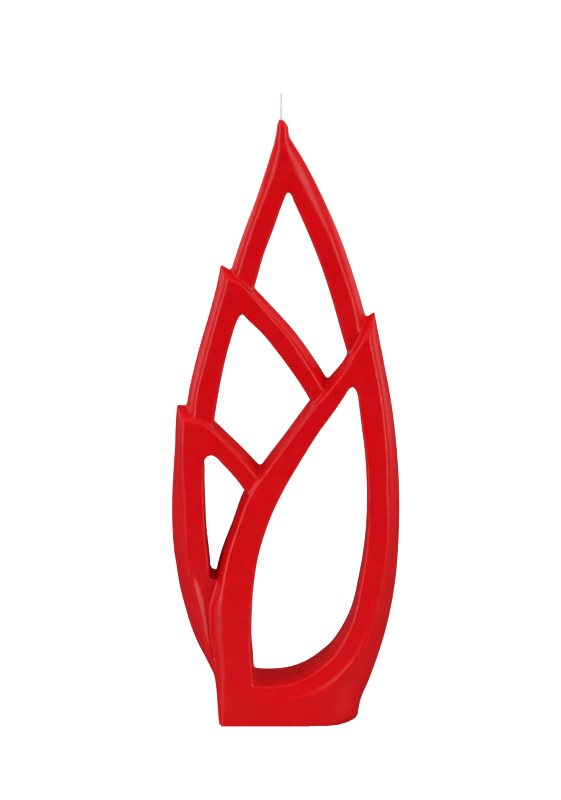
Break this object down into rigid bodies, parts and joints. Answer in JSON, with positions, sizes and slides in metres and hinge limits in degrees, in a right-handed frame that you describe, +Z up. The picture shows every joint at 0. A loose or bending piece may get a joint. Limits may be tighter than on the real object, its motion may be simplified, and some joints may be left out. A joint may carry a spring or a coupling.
{
  "type": "openwork sculptural candle",
  "caption": "Tall free-standing openwork candle: overlapping leaf-shaped loops of glossy wax on a flat foot, with a wick standing from the tip.",
  "frame": {"origin": "centre of the flat underside, on the ground", "axes": "+Z up towards the wick, -Y towards the front, +X to the right seen from the front, on the side of the big leaf's tip"},
  "size_m": [0.1316, 0.0592, 0.3655],
  "materials": {
    "wax": null,
    "wick": "braided undyed cotton, lightly waxed"
  },
  "bodies": {
    "root": {"wax_body": "wax", "wick_left": "wick", "wick_right": "wick", "wick_front": "wick", "wick_middle": "wick", "wick_lower_left": "wick"}
  },
  "joints": []
}
